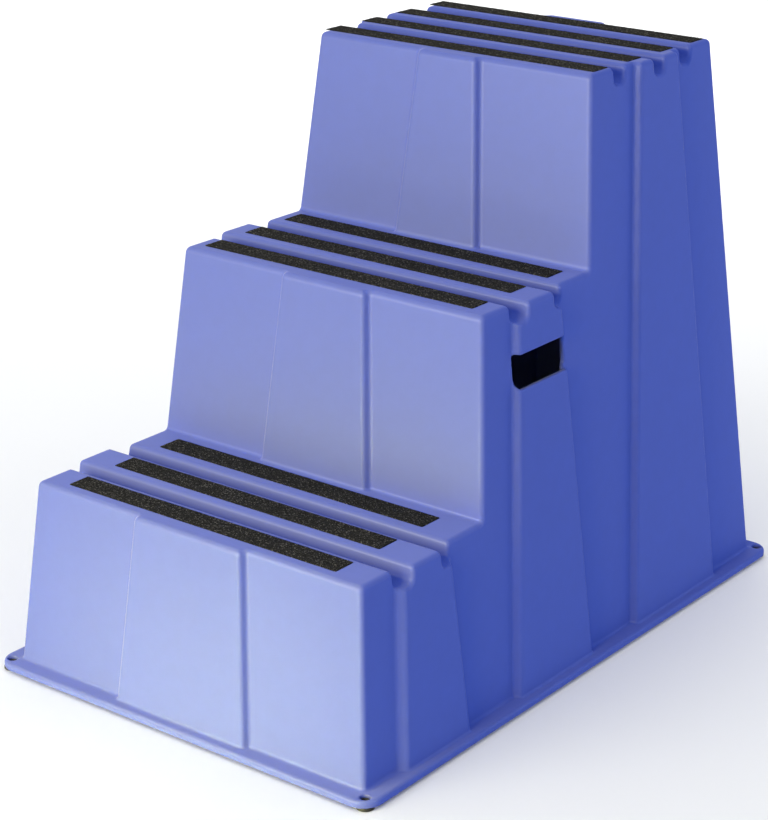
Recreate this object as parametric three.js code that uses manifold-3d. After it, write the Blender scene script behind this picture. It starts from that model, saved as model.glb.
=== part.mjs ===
// Three-step mounting block: one hollow plastic moulding with grooved treads, raised stiffening
// panels and a carrying hand hole in each side, ten stuck-on grit strips and four push-in feet.
// Millimetres, +Z up. Origin on the floor under the middle of the base flange.
// Front (lowest step) towards -Y, symmetric about X = 0.
import * as THREE from 'three';
import { mergeVertices } from 'three/addons/utils/BufferGeometryUtils.js';
import Module from 'manifold-3d';

const wasm = await Module();
wasm.setup();

// ---------- driving dimensions ----------
const FOOT_H = 4;            // flange stands this far off the floor
const FLANGE_T = 8.7;        // flange thickness
const FLANGE_X = 292;        // flange half width
const FLANGE_Y = 453;        // flange half length
const FLANGE_R = 26;         // flange corner radius in plan
const WALL = 5;              // moulding wall
const TREAD = [247.4, 488.6, 724];          // tread heights
const RISER_Y0 = [-431.4, -204.2, 19.1];    // riser planes carried down to z = 0
const DRAFT = 0.0875;        // 5 degree draft of sides and risers
const BACK_Y0 = 431.5;       // back wall plane at z = 0
const BACK_DRAFT = 0.096;
const SIDE_X0 = 270.4;       // side wall plane at z = 0 (recessed faces)

const PANEL_OUT = 9;         // riser panels stand this proud
const PANEL_X0 = 99.6;       // riser panel half width at z = 0
const PANEL_TAPER = 0.0785;  // narrows by this per mm of height
const PANEL_JOG = 4;         // run of the panel's side faces

const BUTT_OUT = 10;         // side buttresses stand this proud
const BUTT_TAPER = 0.0775;
const BUTT_C = [-302.2, -58.5, 222];        // buttress centres along Y
const BUTT_H = [42, 41.5, 42];              // half length at the tread
const BUTT_JOG = [8, 4.5, 3.5];             // run of the end faces

const CH_DEPTH = 22;         // channel depth
const CH_W = 27;             // channel width at the tread
const CH_FLOOR = [1.5, 25.5]; // channel floor, from its front wall
const CHANNELS = [           // front walls of the channels along Y
  [-356, -277.5],
  [-109, -30.5],
  [130.5, 207, 283.5],
];

const STRIP_T = 1;           // grit strip thickness
const STRIP_X = [-210.5, 200.5];
const STRIPS = [
  [[-394.5, -361.5], [-316, -281.5], [-235.3, -200]],
  [[-143.5, -110.5], [-67, -33], [10.4, 45.4]],
  [[96.5, 129.5], [172.5, 205.5], [248.5, 281.5], [321.5, 354.5]],
];

const HOLE_Y = [-110, -2];   // carrying hand hole, along Y
const HOLE_Z = [388.5, 430.5];
const HOLE_R = 6;

const FOOT_AT = [277, 438];  // foot axes
const FOOT_R = 11;           // foot head radius
const STEM_R = 6.2;          // foot stem radius
const FOOT_HOLE_R = 6.5;     // hole in the flange

// ---------- helpers ----------
const sideX = z => SIDE_X0 - DRAFT * z;
const riserY = (i, z) => RISER_Y0[i] + DRAFT * z;
const backY = z => BACK_Y0 - BACK_DRAFT * z;
const panelX = z => PANEL_X0 - PANEL_TAPER * z;

// polygon with rounded corners: [a, b, radius] per corner
function rounded(corners, seg = 5) {
  const pts = [], n = corners.length;
  for (let i = 0; i < n; i++) {
    const [x, y, r] = corners[i];
    const P = new THREE.Vector2(x, y);
    if (!r) { pts.push(P); continue; }
    const A = new THREE.Vector2(...corners[(i + n - 1) % n].slice(0, 2)).sub(P).normalize();
    const B = new THREE.Vector2(...corners[(i + 1) % n].slice(0, 2)).sub(P).normalize();
    const half = Math.acos(Math.max(-1, Math.min(1, A.dot(B)))) / 2;
    const centre = A.clone().add(B).normalize().multiplyScalar(r / Math.sin(half)).add(P);
    const p0 = A.clone().multiplyScalar(r / Math.tan(half)).add(P).sub(centre);
    const p1 = B.clone().multiplyScalar(r / Math.tan(half)).add(P).sub(centre);
    let a0 = Math.atan2(p0.y, p0.x), da = Math.atan2(p1.y, p1.x) - a0;
    while (da > Math.PI) da -= 2 * Math.PI;
    while (da < -Math.PI) da += 2 * Math.PI;
    for (let k = 0; k <= seg; k++) {
      const a = a0 + da * k / seg;
      pts.push(new THREE.Vector2(centre.x + r * Math.cos(a), centre.y + r * Math.sin(a)));
    }
  }
  return new THREE.Shape(pts);
}

const extrude = (shape, depth) =>
  new THREE.ExtrudeGeometry(shape, { depth, bevelEnabled: false, curveSegments: 8 });

// a (y, z) outline carried across X, with its two end faces placed by half(y, z)
function acrossX(shape, half) {
  const g = extrude(shape, 1), p = g.attributes.position;
  for (let i = 0; i < p.count; i++) {
    const y = p.getX(i), z = p.getY(i), h = half(y, z);
    p.setXYZ(i, p.getZ(i) > 0.5 ? h : -h, y, z);
  }
  return g;
}

// a four-cornered block between an inner and an outer (y, z) outline, on the side given by sign
function sideBlock(inner, outer, xIn, xOut, sign) {
  const g = extrude(new THREE.Shape(inner.map(c => new THREE.Vector2(...c))), 1);
  const p = g.attributes.position;
  for (let i = 0; i < p.count; i++) {
    const y = p.getX(i), z = p.getY(i), far = p.getZ(i) > 0.5;
    const k = inner.findIndex(c => Math.hypot(c[0] - y, c[1] - z) < 1e-3);
    const [yy, zz] = far ? outer[k] : inner[k];
    p.setXYZ(i, sign * (far ? xOut(zz) : xIn(zz)), yy, zz);
  }
  if (sign < 0) flip(g);
  return g;
}

function flip(g) {
  const p = g.attributes.position;
  for (let i = 0; i < p.count; i += 3) {
    const a = new THREE.Vector3().fromBufferAttribute(p, i + 1);
    const b = new THREE.Vector3().fromBufferAttribute(p, i + 2);
    p.setXYZ(i + 1, b.x, b.y, b.z);
    p.setXYZ(i + 2, a.x, a.y, a.z);
  }
}

function solid(g) {
  let m = g.index ? g.toNonIndexed() : g.clone();
  m.deleteAttribute('normal');
  m.deleteAttribute('uv');
  m = mergeVertices(m, 1e-5);
  return new wasm.Manifold(new wasm.Mesh({
    numProp: 3,
    vertProperties: new Float32Array(m.attributes.position.array),
    triVerts: new Uint32Array(m.index.array),
  }));
}

function geometryOf(man) {
  const mesh = man.getMesh();
  const g = new THREE.BufferGeometry();
  const pos = new Float32Array(mesh.numVert * 3);
  for (let i = 0; i < mesh.numVert; i++)
    for (let k = 0; k < 3; k++) pos[i * 3 + k] = mesh.vertProperties[i * mesh.numProp + k];
  g.setAttribute('position', new THREE.BufferAttribute(pos, 3));
  g.setIndex(new THREE.BufferAttribute(new Uint32Array(mesh.triVerts), 1));
  g.computeVertexNormals();
  return g;
}

// ---------- shell ----------
// stepped side outline, grown inwards by t; floor at zLow
function bodyOutline(t, zLow, rNose, rRoot) {
  const [z1, z2, z3] = TREAD.map(z => z - t);
  const c = [];
  c.push([riserY(0, zLow) + t, zLow, 0]);
  c.push([riserY(0, z1) + t, z1, rNose]);
  c.push([riserY(1, z1) + t, z1, rRoot]);
  c.push([riserY(1, z2) + t, z2, rNose]);
  c.push([riserY(2, z2) + t, z2, rRoot]);
  c.push([riserY(2, z3) + t, z3, rNose]);
  c.push([backY(z3) - t, z3, rNose]);
  c.push([backY(zLow) - t, zLow, 0]);
  return rounded(c.reverse(), 4);
}

// raised middle panel of riser i, in from its proud face by t
function riserPanel(i, t, rNose) {
  const low = i === 0 ? (t ? 2 : 6) : TREAD[i - 1] - 8, top = TREAD[i] - t;
  const y = z => riserY(i, z) - PANEL_OUT + t, back = PANEL_OUT + 4;
  const shape = rounded([
    [y(low), low, 0], [y(low) + back, low, 0], [y(top) + back, top, 0], [y(top), top, rNose],
  ], 4);
  return acrossX(shape, (yy, z) => {
    const d = yy - (riserY(i, z) - PANEL_OUT);
    return panelX(z) + PANEL_JOG * d / PANEL_OUT - (t ? t + 0.6 : 0);
  });
}

// raised middle panel of the back wall
function backPanel(t, rNose) {
  const low = t ? 2 : 6, top = TREAD[2] - t;
  const y = z => backY(z) + PANEL_OUT - t, back = PANEL_OUT + 4;
  const shape = rounded([
    [y(low) - back, low, 0], [y(low), low, 0], [y(top), top, rNose], [y(top) - back, top, 0],
  ], 4);
  return acrossX(shape, (yy, z) => {
    const d = backY(z) + PANEL_OUT - yy;
    return panelX(z) + PANEL_JOG * d / PANEL_OUT - (t ? t + 0.6 : 0);
  });
}

// raised buttress of step i on one side wall, in from its proud face by t
function buttress(i, sign, t) {
  const low = t ? 2 : 6, top = TREAD[i] - t, run = BUTT_JOG[i];
  const edge = z => BUTT_H[i] + BUTT_TAPER * (TREAD[i] - z);
  const inset = t ? t * Math.hypot(1, run / BUTT_OUT) : 0;
  const outline = depth => {
    const h = z => edge(z) + run * depth / BUTT_OUT - inset;
    return [
      [BUTT_C[i] - h(low), low], [BUTT_C[i] + h(low), low],
      [BUTT_C[i] + h(top), top], [BUTT_C[i] - h(top), top],
    ];
  };
  const deep = BUTT_OUT + 7;
  return sideBlock(outline(deep), outline(t), z => sideX(z) + BUTT_OUT - deep,
    z => sideX(z) + BUTT_OUT - t, sign);
}

// drain channel across a tread; t thickens it for the underside of the moulding
function channel(i, y0, t) {
  const z = TREAD[i];
  const slope = (CH_W - CH_FLOOR[1]) / CH_DEPTH, lift = 5;
  const front = t, rear = t * Math.hypot(1, slope);
  const zb = z - CH_DEPTH - t, zt = z + lift;
  const yRear = h => y0 + CH_FLOOR[1] + slope * (h - (z - CH_DEPTH)) + rear;
  const yFront = h => y0 + CH_FLOOR[0] * (z - h) / CH_DEPTH - front;
  return acrossX(rounded([
    [yFront(zb), zb, 4 + t], [yRear(zb), zb, 9 + t], [yRear(zt), zt, 0], [yFront(zt), zt, 0],
  ], 4), () => 320);
}

let outer = solid(acrossX(bodyOutline(0, 6, 4, 3), (y, z) => sideX(z)));
let cavity = solid(acrossX(bodyOutline(WALL, 0, 2, 5), (y, z) => sideX(z) - WALL));
const add = g => { outer = outer.add(solid(g)); };
for (let i = 0; i < 3; i++) {
  add(riserPanel(i, 0, 4));
  cavity = cavity.add(solid(riserPanel(i, WALL, 1.5)));
  for (const s of [-1, 1]) {
    add(buttress(i, s, 0));
    cavity = cavity.add(solid(buttress(i, s, WALL)));
  }
}
add(backPanel(0, 4));
cavity = cavity.add(solid(backPanel(WALL, 1.5)));

const flange = extrude(rounded([
  [-FLANGE_X, -FLANGE_Y, FLANGE_R], [FLANGE_X, -FLANGE_Y, FLANGE_R],
  [FLANGE_X, FLANGE_Y, FLANGE_R], [-FLANGE_X, FLANGE_Y, FLANGE_R],
], 6), FLANGE_T).translate(0, 0, FOOT_H);
outer = outer.add(solid(flange));

TREAD.forEach((_, i) => CHANNELS[i].forEach(y0 => {
  outer = outer.subtract(solid(channel(i, y0, 0)));
  cavity = cavity.subtract(solid(channel(i, y0, WALL)));
}));

let shell = outer.subtract(cavity);
for (const s of [-1, 1]) {
  const hole = extrude(rounded([
    [HOLE_Y[0], HOLE_Z[0], HOLE_R], [HOLE_Y[1], HOLE_Z[0], HOLE_R],
    [HOLE_Y[1], HOLE_Z[1], HOLE_R], [HOLE_Y[0], HOLE_Z[1], HOLE_R],
  ], 5), 90);
  hole.applyMatrix4(new THREE.Matrix4().set(0, 0, 1, 0, 1, 0, 0, 0, 0, 1, 0, 0, 0, 0, 0, 1));
  hole.translate(s > 0 ? 200 : -290, 0, 0);
  shell = shell.subtract(solid(hole));
  for (const f of [-1, 1]) {
    const bore = new THREE.CylinderGeometry(FOOT_HOLE_R, FOOT_HOLE_R, FLANGE_T + 10, 24);
    bore.rotateX(Math.PI / 2).translate(s * FOOT_AT[0], f * FOOT_AT[1], FOOT_H + FLANGE_T / 2);
    shell = shell.subtract(solid(bore));
  }
}

// ---------- assembly ----------
const plastic = new THREE.MeshStandardMaterial({ color: 0x2f43b4, roughness: 0.28, metalness: 0 });
const grit = new THREE.MeshStandardMaterial({ color: 0x23211f, roughness: 0.95, metalness: 0 });
const rubber = new THREE.MeshStandardMaterial({ color: 0x101018, roughness: 0.7, metalness: 0 });

const block = new THREE.Group();
function part(name, geometry, material) {
  const mesh = new THREE.Mesh(geometry, material);
  mesh.name = name;
  block.add(mesh);
  return mesh;
}

part('shell', geometryOf(shell), plastic);

// grit strip with lightly rounded corners, bonded 0.05 mm above the slat
const stripNames = [
  ['lower_strip_front', 'lower_strip_middle', 'lower_strip_rear'],
  ['middle_strip_front', 'middle_strip_middle', 'middle_strip_rear'],
  ['top_strip_1', 'top_strip_2', 'top_strip_3', 'top_strip_4'],
];
STRIPS.forEach((row, i) => row.forEach(([y0, y1], k) => {
  const w = STRIP_X[1] - STRIP_X[0], h = y1 - y0, r = 1;
  const g = extrude(rounded([
    [-w / 2, -h / 2, r], [w / 2, -h / 2, r], [w / 2, h / 2, r], [-w / 2, h / 2, r],
  ], 3), STRIP_T);
  const mesh = part(stripNames[i][k], g, grit);
  mesh.position.set((STRIP_X[0] + STRIP_X[1]) / 2, (y0 + y1) / 2, TREAD[i] + 0.05);
}));

// push-in foot: domed-edge head under the flange, stem up through its hole
const footProfile = [
  [0, 0], [FOOT_R - 1.6, 0], [FOOT_R - 0.5, 0.5], [FOOT_R, 1.6], [FOOT_R, FOOT_H - 0.1],
  [STEM_R, FOOT_H - 0.1], [STEM_R, FOOT_H + 5.2], [STEM_R - 1.2, FOOT_H + 6.2], [0, FOOT_H + 6.2],
].map(p => new THREE.Vector2(...p));
for (const [name, sx, sy] of [
  ['foot_front_left', -1, -1], ['foot_front_right', 1, -1],
  ['foot_back_left', -1, 1], ['foot_back_right', 1, 1],
]) {
  const g = new THREE.LatheGeometry(footProfile, 28);
  g.rotateX(Math.PI / 2);
  part(name, g, rubber).position.set(sx * FOOT_AT[0], sy * FOOT_AT[1], 0);
}

export default block;
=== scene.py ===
# Blender 4.5 scene: the looks of a three-step moulded mounting block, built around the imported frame.
import math

import bmesh
import bpy
import numpy as np
from mathutils import Matrix, Vector


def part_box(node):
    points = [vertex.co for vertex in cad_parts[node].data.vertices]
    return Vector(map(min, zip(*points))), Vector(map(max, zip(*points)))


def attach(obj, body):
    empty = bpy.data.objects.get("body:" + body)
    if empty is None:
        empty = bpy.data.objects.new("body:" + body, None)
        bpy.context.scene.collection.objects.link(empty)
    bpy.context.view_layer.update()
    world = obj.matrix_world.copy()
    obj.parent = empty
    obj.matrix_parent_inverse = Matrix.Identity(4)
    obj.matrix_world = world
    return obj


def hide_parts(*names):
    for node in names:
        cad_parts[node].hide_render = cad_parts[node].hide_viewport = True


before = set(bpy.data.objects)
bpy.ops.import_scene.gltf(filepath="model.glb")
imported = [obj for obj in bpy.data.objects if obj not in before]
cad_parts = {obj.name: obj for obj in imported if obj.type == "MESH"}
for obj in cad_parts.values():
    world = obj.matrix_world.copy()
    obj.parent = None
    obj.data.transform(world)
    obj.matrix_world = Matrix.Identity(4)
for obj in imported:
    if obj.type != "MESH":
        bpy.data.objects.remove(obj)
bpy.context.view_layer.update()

# ------------------------------------------------------------------ dimensions, mm
TREAD = [247.4, 488.6, 724.0]
RISER_Y0 = [-431.4, -204.2, 19.1]
DRAFT, BACK_Y0, BACK_DRAFT, SIDE_X0 = 0.0875, 431.5, 0.096, 270.4
WALL = 5.8
FOOT_H, FLANGE_TOP, FLANGE_X, FLANGE_Y, FLANGE_R = 4.0, 12.7, 292.0, 453.0, 26.0
PANEL_OUT, PANEL_X0, PANEL_TAPER, PANEL_JOG = 9.0, 99.6, 0.0785, 4.0
BUTT_OUT, BUTT_TAPER = 10.0, 0.0775
BUTT_C, BUTT_H, BUTT_JOG = [-302.2, -58.5, 222.0], [42.0, 41.5, 42.0], [8.0, 4.5, 3.5]
CH_DEPTH, CH_W, CH_IN = 22.0, 27.0, 1.5
CHANNELS = [[-356, -277.5], [-109, -30.5], [130.5, 207, 283.5]]
HOLE_Y, HOLE_Z = (-110.0, -2.0), (388.5, 430.5)
FOOT_AT, FOOT_HOLE_R = (277.0, 438.0), 6.5
STRIP_X = (-210.5, 200.5)
STEP = 3.0                                   # grid of the contouring
WORLD_FRONT, WORLD_BACK, KEY, TOP, RIGHT, SHEEN_LOW, SHEEN_WALL, GLINT = 0.86, 0.65, 18, 10, 9, 15, 700, 55
PLASTIC_DARK, PLASTIC_LIGHT, PLASTIC_ROUGH = (0.0195, 0.0590, 0.415), (0.0215, 0.0635, 0.445), 0.38


# ------------------------------------------------------------------ rounded solids as distance fields
def cut(a, b, r):
    """Both a and b, with a rounded outer edge of radius r."""
    return np.minimum(-r, np.maximum(a, b)) + np.hypot(np.maximum(a + r, 0), np.maximum(b + r, 0))


def join(a, b, r):
    """Either a or b, with a fillet of radius r where they meet."""
    return np.maximum(r, np.minimum(a, b)) - np.hypot(np.maximum(r - a, 0), np.maximum(r - b, 0))


def panelled(d, ax, z, side_in):
    """A wall plane d with its raised panel: d is the distance outside the wall plane."""
    edge = (ax - (PANEL_X0 - PANEL_TAPER * z) - (PANEL_JOG / PANEL_OUT) * (PANEL_OUT - side_in)) / 1.1005
    return join(d, cut(d - PANEL_OUT * 0.9962, edge, 3.5), 3.0)


def channel(y, z, front, top):
    slope = (top - z) * (CH_IN / CH_DEPTH)
    n = 1 / math.hypot(1, CH_IN / CH_DEPTH)
    wf = (front + slope - y) * n
    wr = (y - (front + CH_W - slope)) * n
    wb = (top - CH_DEPTH) - z
    return cut(cut(wf, wb, 8.0), wr, 9.5)


def body(x, y, z):
    """Outer body without channels, in mm."""
    ax = np.abs(x)
    ca, cb = 1 / math.hypot(1, DRAFT), 1 / math.hypot(1, BACK_DRAFT)
    prof = None
    for i in range(3):
        out = RISER_Y0[i] + DRAFT * z - y
        s = cut(panelled(out * ca, ax, z, out), z - TREAD[i], 7.0)
        prof = s if prof is None else join(prof, s, 4.0)
    ds = (ax - (SIDE_X0 - DRAFT * z))
    side = ds * ca
    for i in range(3):
        h = BUTT_H[i] + BUTT_TAPER * (TREAD[i] - z) + BUTT_JOG[i] * (BUTT_OUT - ds) / BUTT_OUT
        ends = (np.abs(y - BUTT_C[i]) - h) / math.hypot(1, BUTT_JOG[i] / BUTT_OUT)
        side = join(side, cut(ds * ca - BUTT_OUT * ca, ends, 2.8), 2.2)
    out = y - (BACK_Y0 - BACK_DRAFT * z)
    back = panelled(out * cb, ax, z, out)
    return cut(cut(prof, side, 6.0), back, 6.0)


def shell_field(x, y, z):
    b = body(x, y, z)
    outer, inner = b, b + WALL
    for i in range(3):
        for c in CHANNELS[i]:
            ch = channel(y, z, c, TREAD[i])
            ch = np.where(z > TREAD[i] + 40, 50.0, ch) if i < 2 else ch
            t = np.clip((y - c - 5) / 17, 0, 1)
            outer = cut(outer, -ch, 2.3 + 2.7 * t * t * (3 - 2 * t))
            inner = cut(inner, -(ch - WALL), 2.0)
    ax, ay = np.abs(x), np.abs(y)
    qx, qy = ax - (FLANGE_X - FLANGE_R), ay - (FLANGE_Y - FLANGE_R)
    plan = np.hypot(np.maximum(qx, 0), np.maximum(qy, 0)) + np.minimum(np.maximum(qx, qy), 0) - FLANGE_R
    flange = cut(plan, z - FLANGE_TOP, 3.4)
    outer = join(outer, flange, 3.0)
    outer = cut(outer, FOOT_H - z, 1.2)
    f = cut(outer, -inner, 1.0)
    hole = cut(cut(HOLE_Y[0] - y, HOLE_Z[0] - z, 7.5), y - HOLE_Y[1], 7.5)
    hole = cut(hole, z - HOLE_Z[1], 3.5)
    hole = np.maximum(hole, 150 - ax)
    f = cut(f, -hole, 1.3)
    foot = np.hypot(ax - FOOT_AT[0], ay - FOOT_AT[1]) - FOOT_HOLE_R
    return cut(f, -foot, 0.8)


def gradient(p, h=0.04):
    g = np.empty_like(p)
    for a in range(3):
        q = p.copy(); q[:, a] += h
        r = p.copy(); r[:, a] -= h
        g[:, a] = (shell_field(*q.T) - shell_field(*r.T)) / (2 * h)
    return g


def settle(v):
    """Moves points onto the surface along its gradient."""
    v = v.copy()
    for _ in range(4):
        g = gradient(v)
        f = shell_field(*v.T)
        v += np.clip(-(f / np.maximum((g * g).sum(1), 0.25))[:, None] * g, -1.5, 1.5)
    return v


def contour(lo, hi, step):
    """Dual contouring of shell_field on a half grid that is mirrored in X. Returns points and quads."""
    nx = int(math.ceil(hi[0] / step)) + 1
    xs = np.arange(nx) * step
    ys = np.arange(lo[1], hi[1] + step, step)
    zs = np.arange(lo[2], hi[2] + step, step)
    F = np.empty((nx, len(ys), len(zs)), np.float32)
    X, Y = np.meshgrid(xs, ys, indexing="ij")
    for k, z in enumerate(zs):
        F[:, :, k] = shell_field(X, Y, np.full_like(X, z))
    F = np.concatenate([F[:0:-1], F], 0)
    xs = np.concatenate([-xs[:0:-1], xs])
    F[np.abs(F) < 1e-4] = 1e-4
    s = F < 0
    shape = np.array(F.shape)
    axes = (xs, ys, zs)
    cells, points, normals, quads = [], [], [], []
    count = 0
    stride = (F.shape[1] * F.shape[2], F.shape[2], 1)
    for a in range(3):
        lo_s = [slice(None)] * 3; hi_s = [slice(None)] * 3
        lo_s[a] = slice(0, -1); hi_s[a] = slice(1, None)
        e = np.argwhere(s[tuple(lo_s)] != s[tuple(hi_s)])
        b, c = (a + 1) % 3, (a + 2) % 3
        keep = (e[:, b] > 0) & (e[:, c] > 0) & (e[:, b] < shape[b] - 1) & (e[:, c] < shape[c] - 1)
        e = e[keep]
        e2 = e.copy(); e2[:, a] += 1
        f0, f1 = F[tuple(e.T)].astype(float), F[tuple(e2.T)].astype(float)
        p0 = np.stack([axes[d][e[:, d]] for d in range(3)], 1).astype(float)
        t0, t1 = np.zeros(len(e)), np.ones(len(e))
        for _ in range(5):
            t = t0 + (t1 - t0) * np.clip(f0 / (f0 - f1), 0.05, 0.95)
            q = p0.copy(); q[:, a] += t * step
            ft = shell_field(*q.T)
            left = (ft < 0) == (f0 < 0)
            t0, f0 = np.where(left, t, t0), np.where(left, ft, f0)
            t1, f1 = np.where(left, t1, t), np.where(left, f1, ft)
        n = gradient(q)
        n /= np.maximum(np.linalg.norm(n, axis=1, keepdims=True), 1e-9)
        base = e[:, 0] * stride[0] + e[:, 1] * stride[1] + e[:, 2]
        ring = np.stack([base - stride[b] - stride[c], base - stride[c], base, base - stride[b]], 1)
        flip = s[tuple(e2.T)]
        ring[flip] = ring[flip][:, ::-1]
        cells.append(ring); points.append(q); normals.append(n)
    ring = np.concatenate(cells); P = np.concatenate(points); N = np.concatenate(normals)
    ids, inv = np.unique(ring.ravel(), return_inverse=True)
    inv = inv.reshape(ring.shape)
    m = len(ids)
    who = inv.ravel(); P4 = np.repeat(P, 4, 0); N4 = np.repeat(N, 4, 0)
    cnt = np.bincount(who, minlength=m)
    mean = np.stack([np.bincount(who, P4[:, d], m) / cnt for d in range(3)], 1)
    A = np.zeros((m, 3, 3)); rhs = np.zeros((m, 3))
    off = (N4 * (P4 - mean[who])).sum(1)
    for i in range(3):
        rhs[:, i] = np.bincount(who, N4[:, i] * off, m)
        for j in range(3):
            A[:, i, j] = np.bincount(who, N4[:, i] * N4[:, j], m)
    A += np.eye(3) * 0.08
    d = np.linalg.solve(A, rhs[..., None])[..., 0]
    v = mean + np.clip(d, -step * 0.75, step * 0.75)
    cell = np.stack(np.unravel_index(ids, F.shape), 1)
    low = np.stack([axes[k][cell[:, k]] for k in range(3)], 1)
    v = np.clip(v, low - step * 0.1, low + step * 1.1)
    v = settle(v)
    for _ in range(3):                       # a folded face falls back to the plain crossing average
        a, b, c, d4 = (v[inv[:, k]] for k in range(4))
        n1, n2 = np.cross(b - a, c - a), np.cross(c - a, d4 - a)
        g = gradient((a + b + c + d4) / 4)
        worst = np.minimum((n1 * g).sum(1) / np.maximum(np.linalg.norm(n1, axis=1), 1e-9),
                           (n2 * g).sum(1) / np.maximum(np.linalg.norm(n2, axis=1), 1e-9))
        bad = np.unique(inv[worst < 0.15])
        if len(bad) == 0:
            break
        v[bad] = settle(mean[bad] * 0.7 + v[bad] * 0.3)
    return v, inv


def corner_normals(me, eps=0.25):
    """The field's own normal at each face corner, read just inside the face, so creases stay crisp."""
    nv, nl = len(me.vertices), len(me.loops)
    co = np.empty(nv * 3); me.vertices.foreach_get("co", co); co = co.reshape(-1, 3) * 1000
    vi = np.empty(nl, np.int64); me.loops.foreach_get("vertex_index", vi)
    start = np.empty(len(me.polygons), np.int64); me.polygons.foreach_get("loop_start", start)
    total = np.empty(len(me.polygons), np.int64); me.polygons.foreach_get("loop_total", total)
    fn = np.empty(len(me.polygons) * 3); me.polygons.foreach_get("normal", fn); fn = fn.reshape(-1, 3)
    face = np.repeat(np.arange(len(total)), total)
    idx = np.arange(nl); first = start[face]; n = total[face]
    nxt = first + (idx - first + 1) % n; prv = first + (idx - first - 1) % n
    p = co[vi]
    e1 = co[vi[nxt]] - p; e0 = p - co[vi[prv]]
    e1 /= np.maximum(np.linalg.norm(e1, axis=1, keepdims=True), 1e-9)
    e0 /= np.maximum(np.linalg.norm(e0, axis=1, keepdims=True), 1e-9)
    inward = np.cross(fn[face], e1) + np.cross(fn[face], e0)
    inward /= np.maximum(np.linalg.norm(inward, axis=1, keepdims=True), 1e-6)
    g = gradient(p + inward * eps)
    length = np.linalg.norm(g, axis=1, keepdims=True)
    g = np.where(length > 0.3, g / np.maximum(length, 1e-9), fn[face])
    bad = (g * fn[face]).sum(1) < 0.35
    g[bad] = fn[face][bad]
    return g


def make_shell():
    v, quads = contour((-300, -461.2, -1.3), (300, 462, 730), STEP)
    me = bpy.data.meshes.new("moulded_shell")
    me.from_pydata((v / 1000).tolist(), [], quads.tolist())
    me.validate()
    bm = bmesh.new(); bm.from_mesh(me)
    # flat areas are merged inside 60 mm tiles, which keeps the merged faces small
    tile = {}
    for f in bm.faces:
        c = f.calc_center_median()
        tile[f] = (int(c.x // 0.06), int(c.y // 0.06), int(c.z // 0.06))
    inside = [e for e in bm.edges if len(e.link_faces) == 2 and tile[e.link_faces[0]] == tile[e.link_faces[1]]]
    bmesh.ops.dissolve_limit(bm, angle_limit=math.radians(0.35), use_dissolve_boundaries=False,
                             verts=bm.verts[:], edges=inside, delimit=set())
    bmesh.ops.triangulate(bm, faces=[f for f in bm.faces if len(f.verts) > 4], quad_method="BEAUTY", ngon_method="BEAUTY")
    bm.to_mesh(me); bm.free()
    me.update()
    for p in me.polygons:
        p.use_smooth = True
    me.normals_split_custom_set(corner_normals(me).tolist())
    ob = bpy.data.objects.new("moulded_shell", me)
    bpy.context.scene.collection.objects.link(ob)
    return ob


import time
T0 = time.time()
shell = make_shell()
print("SHELL", len(shell.data.vertices), len(shell.data.polygons), round(time.time() - T0, 1), "s", flush=True)
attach(shell, "root")
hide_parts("shell")


# ------------------------------------------------------------------ grit strips
def strip_mesh(name, node, seed):
    """A stuck-on abrasive strip: a thin film with rounded corners and edges and a gritty top."""
    lo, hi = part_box(node)
    cx, cy = (lo.x + hi.x) / 2, (lo.y + hi.y) / 2
    hx, hy, r, e = (hi.x - lo.x) / 2, (hi.y - lo.y) / 2, 0.0022, 0.0006
    rng = np.random.default_rng(seed)
    pitch = 0.0014
    nx, ny = int(2 * hx / pitch), int(2 * hy / pitch)
    u, v = np.meshgrid(np.linspace(-hx, hx, nx + 1), np.linspace(-hy, hy, ny + 1), indexing="ij")
    inner = np.zeros((nx + 1, ny + 1), bool); inner[1:-1, 1:-1] = True
    u = u + np.where(inner, rng.uniform(-1, 1, u.shape) * pitch * 0.22, 0)
    v = v + np.where(inner, rng.uniform(-1, 1, v.shape) * pitch * 0.22, 0)
    du, dv = np.clip(np.abs(u) - (hx - r), 0, r) / r, np.clip(np.abs(v) - (hy - r), 0, r) / r
    both = (du > 0) & (dv > 0)
    nu = np.where(both, (hx - r) + r * du * np.sqrt(1 - dv ** 2 / 2), np.abs(u))
    nv = np.where(both, (hy - r) + r * dv * np.sqrt(1 - du ** 2 / 2), np.abs(v))
    u, v = np.sign(u) * nu, np.sign(v) * nv
    top = hi.z - 0.00022
    z = np.full(u.shape, top)
    z = z + np.where(inner, rng.random(u.shape) ** 2 * 0.00034, 0)
    z[0, :] -= e; z[-1, :] -= e; z[:, 0] -= e; z[:, -1] -= e
    verts = np.stack([cx + u, cy + v, z], -1).reshape(-1, 3)
    idx = np.arange((nx + 1) * (ny + 1)).reshape(nx + 1, ny + 1)
    quads = np.stack([idx[:-1, :-1], idx[1:, :-1], idx[1:, 1:], idx[:-1, 1:]], -1).reshape(-1, 4)
    rim = np.concatenate([idx[:-1, 0], idx[-1, :-1], idx[:0:-1, -1], idx[0, :0:-1]])
    low = verts[rim].copy(); low[:, 2] = lo.z
    n = len(verts); verts = np.concatenate([verts, low])
    k = np.arange(len(rim)); k2 = (k + 1) % len(rim)
    skirt = np.stack([n + k, n + k2, rim[k2], rim[k]], -1)
    faces = quads.tolist() + skirt.tolist() + [(n + k[::-1]).tolist()]
    me = bpy.data.meshes.new(name)
    me.from_pydata(verts.tolist(), [], faces)
    me.update()
    for f in me.polygons:
        f.use_smooth = len(f.vertices) == 4 and f.index < len(quads)
    ob = bpy.data.objects.new(name, me)
    bpy.context.scene.collection.objects.link(ob)
    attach(ob, "root")
    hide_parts(node)
    return ob


strips = [strip_mesh("grit_" + n, n, 11 + k)
          for k, n in enumerate(sorted(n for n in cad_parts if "_strip_" in n))]


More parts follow.
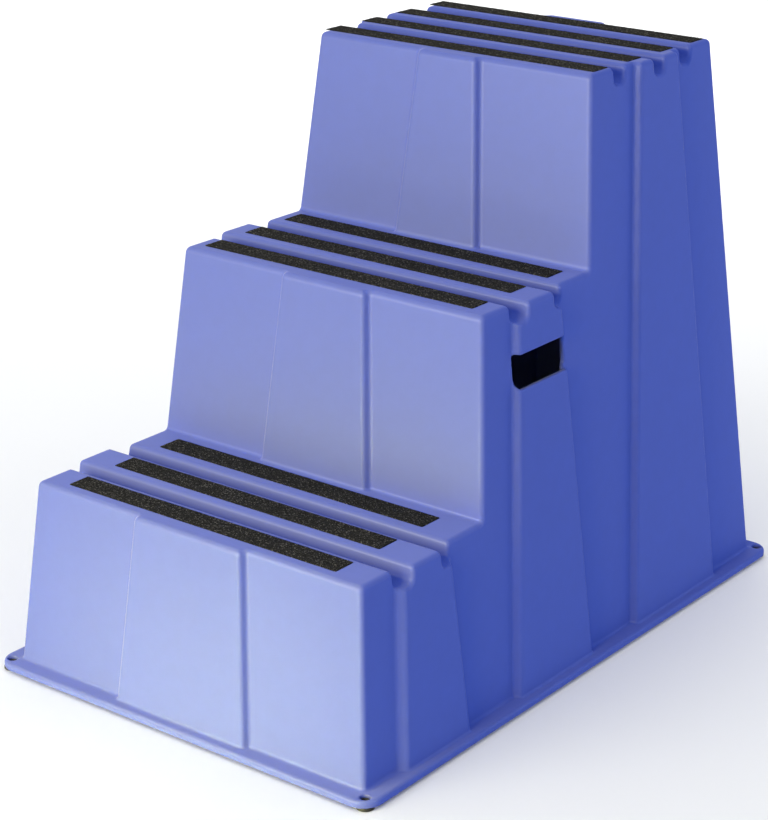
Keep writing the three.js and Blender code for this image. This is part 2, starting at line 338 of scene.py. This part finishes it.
# ------------------------------------------------------------------ rubber feet
def turned(name, node, outline, segments=56):
    """A closed lathe shape around the foot's own axis; outline is (radius, height) in mm from the floor up."""
    lo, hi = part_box(node)
    cx, cy = (lo.x + hi.x) / 2, (lo.y + hi.y) / 2
    bm = bmesh.new()
    rings = []
    for rad, h in outline:
        if rad == 0:
            rings.append([bm.verts.new((cx, cy, lo.z + h / 1000))])
        else:
            rings.append([bm.verts.new((cx + rad / 1000 * math.cos(2 * math.pi * k / segments),
                                        cy + rad / 1000 * math.sin(2 * math.pi * k / segments), lo.z + h / 1000))
                          for k in range(segments)])
    for a, b in zip(rings, rings[1:]):
        for k in range(segments):
            k2 = (k + 1) % segments
            if len(a) == 1:
                bm.faces.new((a[0], b[k2], b[k]))
            elif len(b) == 1:
                bm.faces.new((a[k], a[k2], b[0]))
            else:
                bm.faces.new((a[k], a[k2], b[k2], b[k]))
    bmesh.ops.recalc_face_normals(bm, faces=bm.faces[:])
    me = bpy.data.meshes.new(name)
    bm.to_mesh(me); bm.free()
    for f in me.polygons:
        f.use_smooth = True
    ob = bpy.data.objects.new(name, me)
    bpy.context.scene.collection.objects.link(ob)
    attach(ob, "root")
    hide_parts(node)
    return ob


def arc(cx, cz, r, a0, a1, n=5):
    return [(cx + r * math.cos(math.radians(a0 + (a1 - a0) * k / n)),
             cz + r * math.sin(math.radians(a0 + (a1 - a0) * k / n))) for k in range(n + 1)]


FOOT = [(0, 0.5), (4.2, 0.5)] + arc(4.9, 0.5, 0.5, 180, 270, 3)[::1] + [(6.5, 0)] \
    + arc(9.8, 1.2, 1.2, -90, 0) + arc(10.2, 3.2, 0.8, 0, 90, 4) + [(7.0, 4.0)] \
    + arc(6.35, 4.45, 0.45, -90, -180, 3)[::1] + [(5.9, 5.0), (5.9, 6.6)] \
    + arc(5.5, 7.1, 0.6, -35, 60, 4) + [(5.6, 7.9)] + arc(5.1, 8.3, 0.9, 0, 90, 5) \
    + arc(4.3, 8.4, 0.8, 90, 180, 4) + [(3.4, 5.2), (2.9, 4.7), (1.4, 4.5), (0, 4.5)]
feet = [turned("rubber_" + n, n, FOOT) for n in sorted(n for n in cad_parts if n.startswith("foot_"))]


# ------------------------------------------------------------------ materials
def new_material(name):
    m = bpy.data.materials.new(name)
    m.use_nodes = True
    nt = m.node_tree
    return m, nt, nt.nodes["Principled BSDF"]


class Net:
    """Short helper for wiring shader nodes."""

    def __init__(self, nt):
        self.nt = nt
        self.obj = nt.nodes.new("ShaderNodeTexCoord").outputs["Object"]

    def noise(self, scale, detail=3.0, rough=0.55, stretch=None):
        n = self.nt.nodes.new("ShaderNodeTexNoise")
        n.inputs["Scale"].default_value = scale
        n.inputs["Detail"].default_value = detail
        n.inputs["Roughness"].default_value = rough
        src = self.obj
        if stretch:
            mp = self.nt.nodes.new("ShaderNodeMapping")
            mp.inputs["Scale"].default_value = stretch
            self.nt.links.new(self.obj, mp.inputs["Vector"])
            src = mp.outputs["Vector"]
        self.nt.links.new(src, n.inputs["Vector"])
        return n.outputs["Fac"]

    def ramp(self, fac, stops):
        r = self.nt.nodes.new("ShaderNodeValToRGB")
        e = r.color_ramp.elements
        while len(e) < len(stops):
            e.new(0.5)
        for k, (pos, col) in enumerate(stops):
            e[k].position = pos
            e[k].color = (*col, 1) if len(col) == 3 else col
        self.nt.links.new(fac, r.inputs["Fac"])
        return r.outputs["Color"]

    def span(self, fac, a, b, c, d):
        r = self.nt.nodes.new("ShaderNodeMapRange")
        for k, v in zip(("From Min", "From Max", "To Min", "To Max"), (a, b, c, d)):
            r.inputs[k].default_value = v
        self.nt.links.new(fac, r.inputs["Value"])
        return r.outputs["Result"]

    def math(self, op, a, b):
        n = self.nt.nodes.new("ShaderNodeMath")
        n.operation = op
        for k, v in enumerate((a, b)):
            if isinstance(v, (int, float)):
                n.inputs[k].default_value = v
            else:
                self.nt.links.new(v, n.inputs[k])
        return n.outputs[0]

    def mix(self, fac, a, b, blend="MIX"):
        n = self.nt.nodes.new("ShaderNodeMix")
        n.data_type = "RGBA"
        n.blend_type = blend
        for sock, v in ((n.inputs["Factor"], fac), (n.inputs[6], a), (n.inputs[7], b)):
            if isinstance(v, (int, float)):
                sock.default_value = v
            elif isinstance(v, tuple):
                sock.default_value = (*v, 1)
            else:
                self.nt.links.new(v, sock)
        return n.outputs[2]

    def bump(self, height, strength, distance, under=None):
        n = self.nt.nodes.new("ShaderNodeBump")
        n.inputs["Strength"].default_value = strength
        n.inputs["Distance"].default_value = distance
        self.nt.links.new(height, n.inputs["Height"])
        if under is not None:
            self.nt.links.new(under, n.inputs["Normal"])
        return n.outputs["Normal"]


# moulded polyethylene: pigmented blue, slightly clouded, with a soft gloss and a faint orange peel
plastic, nt, bsdf = new_material("blue_polyethylene")
net = Net(nt)
cloud = net.noise(5.0, 4.0, 0.6)
fine = net.noise(60.0, 3.0, 0.5)
tint = net.ramp(cloud, [(0.30, PLASTIC_DARK), (0.70, PLASTIC_LIGHT)])
tint = net.mix(0.5, tint, net.ramp(fine, [(0.35, PLASTIC_DARK), (0.65, PLASTIC_LIGHT)]))
nt.links.new(tint, bsdf.inputs["Base Color"])
scuff = net.span(net.noise(26.0, 6.0, 0.7, (1.0, 1.0, 3.5)), 0.55, 0.75, 0.0, 1.0)
rough = net.math("ADD", net.span(cloud, 0.3, 0.7, PLASTIC_ROUGH - 0.02, PLASTIC_ROUGH + 0.02), net.math("MULTIPLY", scuff, 0.010))
nt.links.new(rough, bsdf.inputs["Roughness"])
peel = net.bump(net.noise(210.0, 2.0, 0.5), 0.10, 0.0006)
wave = net.bump(net.noise(9.0, 1.0, 0.4), 0.10, 0.0025, peel)
nt.links.new(wave, bsdf.inputs["Normal"])
bsdf.inputs["IOR"].default_value = 1.5
bsdf.inputs["Specular IOR Level"].default_value = 0.035
bsdf.inputs["Coat Weight"].default_value = 0.9
bsdf.inputs["Coat Roughness"].default_value = 0.95
bsdf.inputs["Coat IOR"].default_value = 1.5
shell.data.materials.append(plastic)

# abrasive film: near-black mineral grain, with a few grains coloured light as a painted glint of grains catching the
# light
grit, nt, bsdf = new_material("black_grit")
net = Net(nt)
cell = nt.nodes.new("ShaderNodeTexVoronoi")
cell.inputs["Scale"].default_value = 820.0
nt.links.new(net.obj, cell.inputs["Vector"])
sep = nt.nodes.new("ShaderNodeSeparateColor")
nt.links.new(cell.outputs["Color"], sep.inputs["Color"])
# dark grain colours, and the top stop is a painted glint on a few grains
grain_and_glints = net.ramp(sep.outputs["Red"], [(0.0, (0.003, 0.003, 0.0025)), (0.60, (0.007, 0.0064, 0.0055)),
                                      (0.90, (0.026, 0.024, 0.020)), (1.0, (0.15, 0.14, 0.12))])
dust = net.ramp(net.noise(14.0, 5.0, 0.65), [(0.35, (0.80, 0.80, 0.80)), (0.75, (1.35, 1.33, 1.30))])
nt.links.new(net.mix(1.0, grain_and_glints, dust, "MULTIPLY"), bsdf.inputs["Base Color"])
nt.links.new(net.span(sep.outputs["Green"], 0.0, 1.0, 0.55, 1.0), bsdf.inputs["Roughness"])
nt.links.new(net.bump(cell.outputs["Distance"], 0.65, 0.0007), bsdf.inputs["Normal"])
bsdf.inputs["Specular IOR Level"].default_value = 0.05
for o in strips:
    o.data.materials.append(grit)

# moulded rubber of the feet
rubber, nt, bsdf = new_material("black_rubber")
net = Net(nt)
nt.links.new(net.ramp(net.noise(90.0, 4.0, 0.6), [(0.3, (0.006, 0.006, 0.007)), (0.75, (0.014, 0.014, 0.015))]),
             bsdf.inputs["Base Color"])
nt.links.new(net.span(net.noise(160.0, 3.0), 0.3, 0.7, 0.52, 0.72), bsdf.inputs["Roughness"])
nt.links.new(net.bump(net.noise(900.0, 2.0), 0.25, 0.0003), bsdf.inputs["Normal"])
bsdf.inputs["Specular IOR Level"].default_value = 0.15
for o in feet:
    o.data.materials.append(rubber)

# every carried-over node that might show keeps a matching finish
for n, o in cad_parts.items():
    o.data.materials.clear()
    o.data.materials.append(grit if "_strip_" in n else rubber if n.startswith("foot_") else plastic)

# ------------------------------------------------------------------ stage, light, camera
floor_me = bpy.data.meshes.new("floor")
floor_me.from_pydata([(-20, -20, 0), (20, -20, 0), (20, 20, 0), (-20, 20, 0)], [], [(0, 1, 2, 3)])
floor = bpy.data.objects.new("floor", floor_me)
bpy.context.scene.collection.objects.link(floor)
fm, fnt, fb = new_material("floor_white")
fb.inputs["Base Color"].default_value = (0.93, 0.93, 0.93, 1)
fb.inputs["Roughness"].default_value = 0.8
floor_me.materials.append(fm)

world = bpy.data.worlds.new("studio")
bpy.context.scene.world = world
world.use_nodes = True
wt = world.node_tree
way = wt.nodes.new("ShaderNodeTexCoord")
dot = wt.nodes.new("ShaderNodeVectorMath")
dot.operation = "DOT_PRODUCT"
dot.inputs[1].default_value = (0.45, 0.85, -0.25)          # towards the back of the studio
wt.links.new(way.outputs["Generated"], dot.inputs[0])
fade = wt.nodes.new("ShaderNodeMapRange")
for k, v in zip(("From Min", "From Max", "To Min", "To Max"), (-0.7, 0.9, WORLD_FRONT, WORLD_BACK)):
    fade.inputs[k].default_value = v
wt.links.new(dot.outputs["Value"], fade.inputs["Value"])
wt.links.new(fade.outputs["Result"], wt.nodes["Background"].inputs[1])
wt.nodes["Background"].inputs[0].default_value = (0.96, 0.98, 1, 1)


def area(name, loc, target, size, power, spread=180, color=(1, 1, 1)):
    l = bpy.data.lights.new(name, "AREA")
    l.shape = "RECTANGLE"
    l.size, l.size_y = size
    l.energy = power
    l.color = color
    l.spread = math.radians(spread)
    o = bpy.data.objects.new(name, l)
    bpy.context.scene.collection.objects.link(o)
    o.location = loc
    o.rotation_euler = (Vector(target) - Vector(loc)).to_track_quat("-Z", "Y").to_euler()
    return o


def gloss_only(o):
    """A reflector: it shows in the plastic's sheen and lights nothing else."""
    o.visible_diffuse = False
    o.visible_camera = False
    o.visible_transmission = False
    o.visible_volume_scatter = False
    return o


area("key_front_left", (-0.9, -3.0, 2.0), (0, -0.1, 0.3), (1.8, 1.4), KEY)
area("top", (-0.2, 0.4, 3.2), (0, 0.1, 0), (2.6, 2.6), TOP)
area("far_floor", (-2.6, 3.1, 2.6), (-2.6, 3.1, 0), (4.0, 4.0), 42, 100)
area("right", (1.8, 1.9, 0.75), (0.25, 0.42, 0.35), (1.2, 1.0), RIGHT)
gloss_only(area("glint", (1.45, -2.35, 2.0), (0, 0, 0.35), (0.28, 0.28), GLINT))
gloss_only(area("sheen_floor", (0.00, -1.22, 0.10), (0.05, -0.43, -0.03), (0.5, 0.28), SHEEN_LOW, 64, (1, 0.97, 0.22)))
gloss_only(area("sheen_wall", (-0.25, -2.3, 1.05), (0.1, -0.1, 0.35), (2.2, 1.0), SHEEN_WALL, 180, (1, 0.985, 0.84)))

cam_data = bpy.data.cameras.new("camera")
cam = bpy.data.objects.new("camera", cam_data)
bpy.context.scene.collection.objects.link(cam)
bpy.context.scene.camera = cam
az, el, roll = (math.radians(v) for v in (37.38065, 19.63699, 0.38732))
back = Vector((math.sin(az) * math.cos(el), -math.cos(az) * math.cos(el), math.sin(el)))
right = Vector((math.cos(az), math.sin(az), 0))
up = back.cross(right)
r = right * math.cos(roll) + up * math.sin(roll)
u = up * math.cos(roll) - right * math.sin(roll)
cam.matrix_world = Matrix(((r.x, u.x, back.x, 1.6774327), (r.y, u.y, back.y, -2.2319263),
                           (r.z, u.z, back.z, 1.3114716), (0, 0, 0, 1)))
cam_data.sensor_width = 36
cam_data.lens = 2340.175 * 36 / 820
cam_data.shift_x = (384 - 389.606) / 820
cam_data.shift_y = (381.585 - 410) / 820
cam_data.clip_end = 100
bpy.context.scene.view_settings.view_transform = "Standard"
